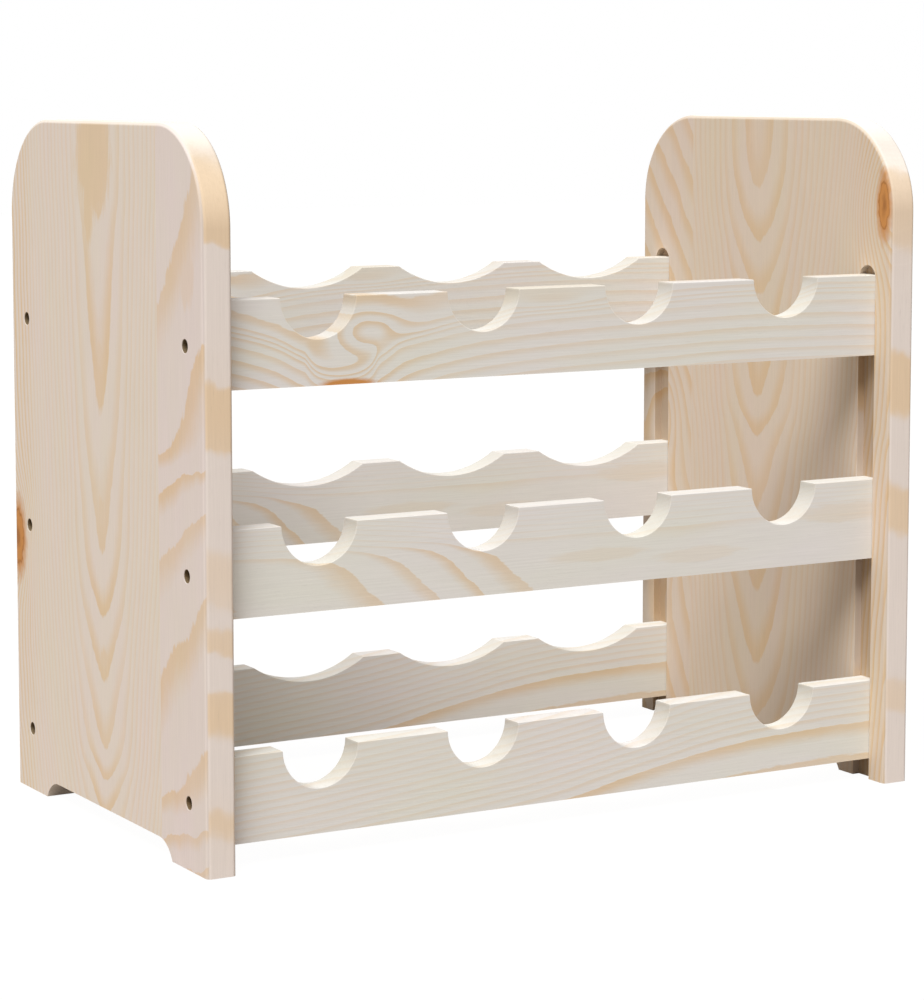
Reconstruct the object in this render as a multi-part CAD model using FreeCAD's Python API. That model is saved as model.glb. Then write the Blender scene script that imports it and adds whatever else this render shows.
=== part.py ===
import FreeCAD, Part
import math
import os

# Wine rack of planed pine: two side panels joined by six scalloped rails.
# Millimetres. X runs along the rails from the left panel to the right one,
# -Y is the front, +Z is up. The origin is on the floor under the rack's middle.

# Overall size
WIDTH = 490.0
DEPTH = 280.0
HEIGHT = 420.0

# Side panels, each glued up from a wide and a narrow board. The right panel is
# the left one turned round, so its narrow board is at the rear.
PANEL_T = 18.0
NARROW_BOARD_W = 61.0
TOP_CORNER_R = 58.0
ARRIS_R = 2.5
FOOT_LENGTH = 47.0
FOOT_HEIGHT = 11.0
COVE_R = 20.0

# Rails
TIER_NAMES = ["lower", "middle", "upper"]
FIRST_RAIL_Z = 13.5
TIER_PITCH = 129.0
RAIL_T = 16.0
RAIL_HEIGHT = 50.5
RAIL_EASE = 0.5
RAIL_SETBACK = 16.0

# Bottle places along a rail
BOTTLES = 4
END_TO_BOTTLE = 65.0
NECK_R = 24.0
BODY_R = 72.0
BODY_SINK = 12.3

# The neck rests sit this far right of the body rests, so less than 0 is left
NECK_SHIFT = -3.6

# Grooves that hold the rail ends
GROOVE_DEPTH = 5.0
GROOVE_FIT = 0.5
ROUND_END_GAP = 0.05

# Wood screws through the panels into the rail ends
SCREW_LENGTH = 40.0
SCREW_CORE_R = 1.4
THREAD_R = 2.0
THREAD_PITCH = 2.5
THREAD_LENGTH = 27.5
POINT_LENGTH = 4.0
HEAD_R = 3.5
HEAD_H = 3.0
HEAD_SINK = 5.0
DRIVE_SLOT_L = 4.0
DRIVE_SLOT_W = 1.0
DRIVE_SLOT_DEPTH = 1.6

# Clearances
HEAD_CLEARANCE = 0.25
SHANK_CLEARANCE = 0.2
THREAD_CLEARANCE = 0.1
TIP_CLEARANCE = 1.0

# A tool runs this far past the wood that it cuts through
OVERCUT = 1.0

# Places that follow from the sizes above
INNER_X = WIDTH / 2.0 - PANEL_T
GROOVE_FLOOR_X = INNER_X + GROOVE_DEPTH
RAIL_Y = DEPTH / 2.0 - RAIL_SETBACK - RAIL_T / 2.0
RAIL_BOTTOMS = [FIRST_RAIL_Z + TIER_PITCH * tier for tier in range(len(TIER_NAMES))]
BOTTLE_PITCH = 2.0 * (INNER_X - END_TO_BOTTLE) / (BOTTLES - 1)
BOTTLE_XS = [END_TO_BOTTLE - INNER_X + BOTTLE_PITCH * place for place in range(BOTTLES)]
SEAM_Y = DEPTH / 2.0 - NARROW_BOARD_W
HEAD_SEAT_DEPTH = HEAD_SINK + HEAD_H


def at(x, y, z):
    return FreeCAD.Vector(x, y, z)


def box_between(low, high):
    size = high - low
    return Part.makeBox(size.x, size.y, size.z, low)


# ---------------------------------------------------------------- side panels


def corner_arc(y_sign):
    """Rounded top corner, from the vertical edge to the top edge."""
    centre_y = DEPTH / 2.0 - TOP_CORNER_R
    centre_z = HEIGHT - TOP_CORNER_R
    half = TOP_CORNER_R * math.sqrt(0.5)
    side = at(0, y_sign * DEPTH / 2.0, centre_z)
    middle = at(0, y_sign * (centre_y + half), centre_z + half)
    top = at(0, y_sign * centre_y, HEIGHT)
    return Part.Arc(side, middle, top).toShape()


def cove_arc(y_sign):
    """Curved shoulder between a foot and the relief under the panel."""
    drop = COVE_R - FOOT_HEIGHT
    foot_y = DEPTH / 2.0 - FOOT_LENGTH
    relief_y = foot_y - math.sqrt(COVE_R ** 2 - drop ** 2)
    half_angle = 0.5 * math.acos(drop / COVE_R)
    foot = at(0, y_sign * foot_y, 0)
    middle_y = relief_y + COVE_R * math.sin(half_angle)
    middle_z = COVE_R * math.cos(half_angle) - drop
    middle = at(0, y_sign * middle_y, middle_z)
    relief = at(0, y_sign * relief_y, FOOT_HEIGHT)
    return Part.Arc(foot, middle, relief).toShape()


def panel_outline():
    front_corner = corner_arc(-1)
    rear_corner = corner_arc(1)
    front_cove = cove_arc(-1)
    rear_cove = cove_arc(1)
    half_depth = DEPTH / 2.0
    foot_y = half_depth - FOOT_LENGTH
    edges = [
        Part.makeLine(at(0, -half_depth, 0), front_corner.Vertexes[0].Point),
        front_corner,
        Part.makeLine(front_corner.Vertexes[1].Point, rear_corner.Vertexes[1].Point),
        rear_corner,
        Part.makeLine(rear_corner.Vertexes[0].Point, at(0, half_depth, 0)),
        Part.makeLine(at(0, half_depth, 0), at(0, foot_y, 0)),
        rear_cove,
        Part.makeLine(rear_cove.Vertexes[1].Point, front_cove.Vertexes[1].Point),
        front_cove,
        Part.makeLine(at(0, -foot_y, 0), at(0, -half_depth, 0)),
    ]
    return Part.Wire(Part.__sortEdges__(edges))


def eased_panel(side):
    """Panel blank with its outer and inner arrises rounded, feet excepted."""
    outer_x = side * WIDTH / 2.0
    inner_x = side * INNER_X
    face = Part.Face(panel_outline())
    face.translate(at(outer_x, 0, 0))
    blank = face.extrude(at(inner_x - outer_x, 0, 0))
    arrises = []
    for edge in blank.Edges:
        box = edge.BoundBox
        runs_along_face = box.XLength < 0.001
        above_relief = box.ZMax > FOOT_HEIGHT + 0.001
        if runs_along_face and above_relief:
            arrises.append(edge)
    return blank.makeFillet(ARRIS_R, arrises)


def groove_tool(side, y_centre):
    """Straight router cut from the foot to a round end that clears the top rail's corners."""
    width = RAIL_T + GROOVE_FIT
    corner_z = RAIL_BOTTOMS[-1] + RAIL_HEIGHT - RAIL_EASE
    corner_y = RAIL_T / 2.0 + ROUND_END_GAP
    round_z = corner_z - math.sqrt((width / 2.0) ** 2 - corner_y ** 2)
    near_x = min(side * (INNER_X - OVERCUT), side * GROOVE_FLOOR_X)
    far_x = max(side * (INNER_X - OVERCUT), side * GROOVE_FLOOR_X)
    low = at(near_x, y_centre - width / 2.0, -OVERCUT)
    high = at(far_x, y_centre + width / 2.0, round_z)
    start = at(near_x, y_centre, round_z)
    round_end = Part.makeCylinder(width / 2.0, far_x - near_x, start, at(1, 0, 0))
    return box_between(low, high).fuse(round_end)


def screw_hole_tool(side, y_centre, z_centre):
    """Counterbore for the head and clearance hole for the shank."""
    outer_x = side * WIDTH / 2.0
    inward = at(-side, 0, 0)
    mouth = at(outer_x + side * OVERCUT, y_centre, z_centre)
    head_r = HEAD_R + HEAD_CLEARANCE
    shank_r = THREAD_R + SHANK_CLEARANCE
    counterbore = Part.makeCylinder(head_r, HEAD_SEAT_DEPTH + OVERCUT, mouth, inward)
    through = Part.makeCylinder(shank_r, PANEL_T + 2.0 * OVERCUT, mouth, inward)
    return counterbore.fuse(through)


def panel(side):
    shape = eased_panel(side)
    for y_centre in (-RAIL_Y, RAIL_Y):
        shape = shape.cut(groove_tool(side, y_centre))
        for bottom in RAIL_BOTTOMS:
            hole_z = bottom + RAIL_HEIGHT / 2.0
            shape = shape.cut(screw_hole_tool(side, y_centre, hole_z))
    return shape


def boards_of(side):
    """The panel's glued boards by name, split at the upright seam."""
    whole_panel = panel(side)
    seam_y = side * SEAM_Y
    far_y = side * DEPTH
    boards = {}
    for board, end_y in (("narrow", far_y), ("wide", -far_y)):
        low = at(-WIDTH, min(seam_y, end_y), -HEIGHT)
        high = at(WIDTH, max(seam_y, end_y), 2.0 * HEIGHT)
        boards[board] = whole_panel.common(box_between(low, high)).Solids[0]
    return boards


# ---------------------------------------------------------------------- rails


def plain_rail(y_centre, bottom):
    low = at(-GROOVE_FLOOR_X, y_centre - RAIL_T / 2.0, bottom)
    high = at(GROOVE_FLOOR_X, y_centre + RAIL_T / 2.0, bottom + RAIL_HEIGHT)
    rail = box_between(low, high)
    long_edges = [edge for edge in rail.Edges if edge.BoundBox.XLength > RAIL_T]
    rail = rail.makeChamfer(RAIL_EASE, long_edges)
    panel_left_at_groove = PANEL_T - GROOVE_DEPTH - HEAD_SEAT_DEPTH
    pilot_length = SCREW_LENGTH - panel_left_at_groove + TIP_CLEARANCE
    for side in (-1, 1):
        mouth = at(side * (GROOVE_FLOOR_X + OVERCUT), y_centre, bottom + RAIL_HEIGHT / 2.0)
        pilot_r = THREAD_R + THREAD_CLEARANCE
        pilot = Part.makeCylinder(pilot_r, pilot_length + OVERCUT, mouth, at(-side, 0, 0))
        rail = rail.cut(pilot)
    return rail


def scalloped_rail(y_centre, bottom, radius, sink, shift):
    """Rail with a round-bottomed rest for each bottle cut into its top edge."""
    rail = plain_rail(y_centre, bottom)
    axis_z = bottom + RAIL_HEIGHT - sink + radius
    for x in BOTTLE_XS:
        start = at(x + shift, y_centre - RAIL_T / 2.0 - OVERCUT, axis_z)
        cutter = Part.makeCylinder(radius, RAIL_T + 2.0 * OVERCUT, start, at(0, 1, 0))
        rail = rail.cut(cutter)
    return rail.Solids[0]


# --------------------------------------------------------------------- screws


def screw_profile():
    """Half section of a screw along +X from the underside of its head."""
    points = [(-HEAD_H, 0.0), (-HEAD_H, HEAD_R), (0.0, HEAD_R), (0.0, THREAD_R)]
    thread_start = SCREW_LENGTH - POINT_LENGTH - THREAD_LENGTH
    points.append((thread_start, THREAD_R))
    turns = int(THREAD_LENGTH / THREAD_PITCH)
    for turn in range(turns):
        start = thread_start + THREAD_PITCH * turn
        points.append((start + 0.3 * THREAD_PITCH, SCREW_CORE_R))
        points.append((start + 0.7 * THREAD_PITCH, SCREW_CORE_R))
        points.append((start + THREAD_PITCH, THREAD_R))
    points.append((SCREW_LENGTH - POINT_LENGTH + 0.5, SCREW_CORE_R))
    points.append((SCREW_LENGTH, 0.0))
    return points


def screw():
    points = [at(x, 0, r) for x, r in screw_profile()]
    section = Part.Face(Part.makePolygon(points + points[:1]))
    body = section.revolve(at(0, 0, 0), at(1, 0, 0), 360)
    for long_y, long_z in ((DRIVE_SLOT_L, DRIVE_SLOT_W), (DRIVE_SLOT_W, DRIVE_SLOT_L)):
        low = at(-HEAD_H - OVERCUT, -long_y / 2.0, -long_z / 2.0)
        high = at(-HEAD_H + DRIVE_SLOT_DEPTH, long_y / 2.0, long_z / 2.0)
        body = body.cut(box_between(low, high))
    return body.Solids[0]


def screw_in_place(side, y_centre, z_centre):
    """A screw with its head on the counterbore's floor, pointing into the rail."""
    placed = screw()
    if side > 0:
        placed.rotate(at(0, 0, 0), at(0, 0, 1), 180)
    seat_x = side * (WIDTH / 2.0 - HEAD_SEAT_DEPTH)
    placed.translate(at(seat_x, y_centre, z_centre))
    return placed


# ------------------------------------------------------------------- assembly


def build():
    nodes = {}
    for side, side_name in ((-1, "left"), (1, "right")):
        for board_name, board in boards_of(side).items():
            nodes[side_name + "_panel_" + board_name + "_board"] = board
        for y_centre, row in ((-RAIL_Y, "front"), (RAIL_Y, "rear")):
            screws = []
            for bottom in RAIL_BOTTOMS:
                screws.append(screw_in_place(side, y_centre, bottom + RAIL_HEIGHT / 2.0))
            nodes["screws_" + side_name + "_" + row] = Part.makeCompound(screws)
    for bottom, tier in zip(RAIL_BOTTOMS, TIER_NAMES):
        front_rail = scalloped_rail(-RAIL_Y, bottom, NECK_R, NECK_R, NECK_SHIFT)
        rear_rail = scalloped_rail(RAIL_Y, bottom, BODY_R, BODY_SINK, 0.0)
        nodes["front_rail_" + tier] = front_rail
        nodes["rear_rail_" + tier] = rear_rail
    return nodes


os.makedirs("parts", exist_ok=True)
for name, shape in build().items():
    shape.exportStep("parts/" + name + ".step")
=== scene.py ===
import math

import bmesh
import bpy
from mathutils import Matrix, Vector


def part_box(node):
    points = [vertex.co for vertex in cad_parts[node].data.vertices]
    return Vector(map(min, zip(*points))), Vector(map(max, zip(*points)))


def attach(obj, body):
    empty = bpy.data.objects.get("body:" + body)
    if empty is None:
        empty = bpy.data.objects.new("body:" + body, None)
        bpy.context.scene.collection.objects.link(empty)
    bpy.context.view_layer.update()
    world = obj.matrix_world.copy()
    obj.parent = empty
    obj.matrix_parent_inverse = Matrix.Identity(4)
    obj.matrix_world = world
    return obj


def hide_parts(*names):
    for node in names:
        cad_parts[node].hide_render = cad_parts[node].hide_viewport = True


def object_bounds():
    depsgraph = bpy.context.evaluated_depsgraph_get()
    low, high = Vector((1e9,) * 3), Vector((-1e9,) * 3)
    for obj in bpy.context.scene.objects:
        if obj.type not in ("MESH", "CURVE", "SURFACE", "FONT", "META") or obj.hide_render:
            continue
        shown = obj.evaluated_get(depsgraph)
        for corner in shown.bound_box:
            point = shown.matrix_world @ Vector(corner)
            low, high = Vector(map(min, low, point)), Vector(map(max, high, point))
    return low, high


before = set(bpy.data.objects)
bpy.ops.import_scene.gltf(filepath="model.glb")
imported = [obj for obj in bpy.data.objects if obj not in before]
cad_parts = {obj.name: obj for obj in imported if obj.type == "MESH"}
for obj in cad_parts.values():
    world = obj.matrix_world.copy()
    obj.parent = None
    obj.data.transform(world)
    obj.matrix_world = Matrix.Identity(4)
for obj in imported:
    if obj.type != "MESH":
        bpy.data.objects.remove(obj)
CAD_LOW, CAD_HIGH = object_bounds()

bl_info = {
    "name": "Pine Wine Rack",
    "version": (1, 0, 0),
    "blender": (4, 5, 0),
    "location": "3D View > Sidebar > Wine Rack",
    "description": "Builds a twelve-bottle rack of planed pine round its packed parts",
    "category": "Object",
}

# The rack stands on the floor with its front to -Y and its rails along X.
# Tiers from the bottom up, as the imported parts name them.
TIERS = ("lower", "middle", "upper")
ROWS = ("front", "rear")
SIDES = {"left": -1.0, "right": 1.0}
BOTTLES = 4

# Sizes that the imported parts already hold
RAIL_LOW, RAIL_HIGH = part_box("front_rail_lower")
PANEL_LOW, PANEL_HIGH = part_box("left_panel_wide_board")
NARROW_LOW, NARROW_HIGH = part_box("left_panel_narrow_board")
HALF_WIDTH = CAD_HIGH.x
HALF_DEPTH = CAD_HIGH.y
HEIGHT = CAD_HIGH.z

MM = 0.001
# A cutting tool runs this far past the wood
OVERCUT = 0.001
# Clearances round a screw's head and shank in the panel, and round its thread in the rail
HEAD_CLEARANCE = 0.00025
SHANK_CLEARANCE = 0.0002
PILOT_CLEARANCE = 0.0001
# The drill's mark at the mouth of a screw hole
MOUTH_SOFTENING = 0.0004
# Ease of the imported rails' top corners, and the gap from them to a groove's round end
PACKED_RAIL_EASE = 0.0005
ROUND_END_GAP = 0.00005
# Points nearer than this count as level or as one
TOUCH = 1e-6
# Edges that turn by more than this are shaded as corners
CORNER_ANGLE = math.radians(32.0)
# Edges of a sawn rail that turn by more than this are sanded
SANDED_ANGLE = math.radians(20.0)
# Edges this near a pilot hole's axis stay as drilled
DRILLED_REACH = 0.003
# Flat steps that make up each curve
CORNER_STEPS = 28
ARRIS_STEPS = 5
EASE_STEPS = 2
SHOULDER_STEPS = 16
HOLE_STEPS = 40
PILOT_STEPS = 20
REST_STEPS = 128
SCREW_STEPS = 28
# Screws: turns of thread, the lengths without thread and of the point, and the cross recess
THREAD_TURNS = 11
BARE_LENGTH = 0.004
POINT_LENGTH = 0.0035
RECESS_HALF_LENGTH = 0.002
RECESS_HALF_WIDTH = 0.0005
RECESS_DEPTH = 0.0016

# Studio: a camera to the front left, just higher than the rack, and one broad key light
CAMERA_PLACE = (-0.9568, -1.6579, 0.4416)
CAMERA_PITCH_DOWN = math.radians(5.90)
CAMERA_HEADING = math.radians(-29.97)
CAMERA_LENS = 110.3
CAMERA_SHIFT = -0.1
KEY_DIRECTION = Vector((1.0, 1.0, -2.15))
KEY_ENERGY = 3.52
KEY_ANGLE = math.radians(32.0)
KEY_COLOUR = (1.0, 1.0, 0.98)
FILL_COLOUR = (1.0, 0.95, 0.89, 1.0)
FILL_STRENGTH = 0.435
WHITE = (1.0, 1.0, 1.0, 1.0)
# Share of the floor's look that is even white glow, and how bright the glow is
FLOOR_GLOW_SHARE = 0.88
FLOOR_GLOW = 1.11
FLOOR_HALF_WIDTH = 8.0
FLOOR_DROP = 0.0003


def linear(hex_colour):
    """Turn sRGB hex digits into the linear RGBA that a colour socket holds."""
    channels = [int(hex_colour[i:i + 2], 16) / 255.0 for i in (0, 2, 4)]
    lit = [c / 12.92 if c <= 0.04045 else ((c + 0.055) / 1.055) ** 2.4 for c in channels]
    return (*lit, 1.0)


def length(name, description, default):
    """A length property, in metres."""
    return bpy.props.FloatProperty(
        name=name, description=description, default=default, min=0.0, unit="LENGTH", precision=4)


def paint(name, description, hex_colour):
    """A colour property with a default given as sRGB hex digits."""
    return bpy.props.FloatVectorProperty(
        name=name, description=description, default=linear(hex_colour), size=4,
        min=0.0, max=1.0, subtype="COLOR")


class RackSizes(bpy.types.PropertyGroup):
    """Sizes of the boards, rails and screws."""

    panel_thickness: length(
        "Panel thickness", "Thickness of the side panels", PANEL_HIGH.x - PANEL_LOW.x)
    narrow_board: length(
        "Narrow board", "Width of each panel's narrow board", NARROW_HIGH.y - NARROW_LOW.y)
    corner_radius: length("Corner radius", "Radius of a panel's top corners", 0.058)
    arris_radius: length("Arris radius", "Rounding of a panel's long edges", 0.0025)
    foot_length: length("Foot length", "Length of each foot along the floor", 0.047)
    foot_height: length("Foot height", "Height of the relief between the feet", 0.011)
    cove_radius: length("Cove radius", "Radius of the curve from foot to relief", 0.020)
    rail_thickness: length(
        "Rail thickness", "Thickness of the rails", RAIL_HIGH.y - RAIL_LOW.y)
    rail_ease: length("Rail ease", "Sanded rounding of the rails' edges", 0.0006)
    end_to_bottle: length(
        "End to bottle", "From a panel's inner face to the nearest bottle's middle", 0.065)
    neck_radius: length("Neck rest radius", "Radius of the rests in the front rails", 0.024)
    body_radius: length("Body rest radius", "Radius of the rests in the rear rails", 0.072)
    body_sink: length("Body rest depth", "Depth of the rests in the rear rails", 0.0123)
    neck_shift: length("Neck rest shift", "How far left the front rests sit", 0.0036)
    groove_depth: length("Groove depth", "Depth of the grooves that hold the rails", 0.005)
    groove_fit: length("Groove fit", "How much wider a groove is than a rail", 0.0005)
    head_radius: length("Screw head radius", "Radius of the screws' heads", 0.0035)
    head_height: length("Screw head height", "Height of the screws' heads", 0.003)
    head_sink: length("Screw head sink", "Depth of a head below the panel's face", 0.005)
    thread_radius: length("Thread radius", "Radius over the screws' threads", 0.002)
    core_radius: length("Core radius", "Radius of the screws' cores", 0.0014)
    thread_pitch: length("Thread pitch", "Distance from thread to thread", 0.0025)
    screw_length: length("Screw length", "Length below the head", 0.040)


class RackColours(bpy.types.PropertyGroup):
    """Colours of the woods, the screws and the floor."""

    panel_early: paint("Panel earlywood", "Pale wood between a panel's rings", "E5DBD6")
    panel_late: paint("Panel latewood", "Tan rings of the panels", "E2C49B")
    rail_early: paint("Rail earlywood", "Pale wood between a rail's rings", "E0DFDF")
    rail_late: paint("Rail latewood", "Tan rings of the rails", "DCC3A3")
    knot: paint("Knot", "Orange-brown wood of a knot", "CB8C4C")
    knot_heart: paint("Knot heart", "Dark resin at the heart of a knot", "AB713B")
    end_grain: paint("End grain", "Sanded tops of the panels, pale with wood dust", "FAF2EA")
    # The rest walls are darker and greyer than the rails: partly end grain, partly painted shade.
    rest_grain_and_shade: paint("Rest grain and shade", "Curved walls of the bottle rests", "BDB9AE")
    zinc: paint("Zinc", "Yellow-passivated plating of the screws", "54462C")
    floor: paint("Floor", "Studio floor", "9E958C")


# ------------------------------------------------------------------ materials


def add_node(tree, kind, inputs=None, points=None, **settings):
    """Add a shader node with its settings, its curve or ramp points, and its links."""
    node = tree.nodes.new("ShaderNode" + kind)
    for name, value in settings.items():
        setattr(node, name, value)
    for name, value in (inputs or {}).items():
        if isinstance(value, bpy.types.NodeSocket):
            tree.links.new(value, node.inputs[name])
        else:
            node.inputs[name].default_value = value
    if points and kind == "FloatCurve":
        line = node.mapping.curves[0].points
        line[0].location, line[1].location = points[0], points[-1]
        for x, y in points[1:-1]:
            line.new(x, y)
        node.mapping.update()
    elif points:
        stops = node.color_ramp.elements
        stops[0].position, stops[1].position = points[0][0], points[-1][0]
        stops[0].color, stops[1].color = points[0][1], points[-1][1]
        for position, colour in points[1:-1]:
            stops.new(position).color = colour
    return node


def follow(tree, distance, points):
    """A smooth curve through (millimetres, value) points, read at a distance."""
    start, end = points[0][0], points[-1][0]
    low = min(value for _, value in points)
    high = max(value for _, value in points)
    share = add_node(tree, "MapRange", {0: distance, 1: start, 2: end}).outputs[0]
    line = [((x - start) / (end - start), (y - low) / (high - low)) for x, y in points]
    curve = add_node(tree, "FloatCurve", {"Value": share}, points=line).outputs[0]
    return add_node(tree, "MapRange", {0: curve, 3: low, 4: high}).outputs[0]


def blob(tree, grain, middle_across, middle_along, half_across, half_along):
    """Distance from a point on the board's face, 1 on the ellipse of those half widths."""
    scale = (1.0 / half_across, 1.0 / half_along, 0.0)
    shift = (-middle_across / half_across, -middle_along / half_along, 0.0)
    moved = add_node(tree, "Mapping", {"Vector": grain, "Location": shift, "Scale": scale})
    reach = add_node(tree, "VectorMath", {0: moved.outputs[0]}, operation="LENGTH")
    return reach.outputs["Value"]


def noise(tree, grain, across, along, seed, detail=2.0):
    """Noise from -0.5 to 0.5 whose blotches are that many millimetres across and along."""
    size = (1.0 / across, 1.0 / along, 1.0 / across)
    moved = add_node(tree, "Mapping", {
        "Vector": grain, "Location": (seed, 2.3 * seed, -seed), "Scale": size}).outputs[0]
    cloud = add_node(tree, "TexNoise", {"Vector": moved, "Scale": 1.0, "Detail": detail}).outputs[0]
    return add_node(tree, "Math", {0: cloud, 1: 0.5}, operation="SUBTRACT").outputs[0]


# How each board was cut from its log, in millimetres on its face. "turn" puts the
# grain across, along and into the board; "origin" is that frame's zero on the board.
# "across" and "along" count growth rings in each direction, and where the count climbs
# slowly a ring shows as a broad band. "lift" slides the rings across as they run along.
# "wander" is how far the rings sway, "tilt" how they lean into the board and "slant" how the
# count leans along it. "fade" and "fade_along" say how strongly the rings show, "sharp" narrows
# them, "tint_and_shade" tints a whole board, on the right panels partly with their own browner
# colour and partly with painted shade, and "end" is how far cut ends hide them. Bends are (across,
# along, half width, half length, rings), knots the same without rings, and lobes the same with
# the strength of a patch where the saw ran flat along one ring. "edge" gives the bands on the
# narrow front edge by height, "bore" the line of the screws across the face, and "groove" how
# deep the middle of the groove's depth lies; these two place the painted shade in the grooves and
# the screw holes.
FLAT_SAWN = [
    (-160, 25.0), (-120, 17.2), (-90, 11.0), (-66, 6.6), (-48, 3.5), (-34, 1.6), (-20, 0.7),
    (-8, 0.18), (0, 0.0), (8, 0.18), (20, 0.7), (34, 1.6), (48, 3.5), (66, 6.6), (90, 11.0),
    (120, 17.2), (160, 25.0)]
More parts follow.
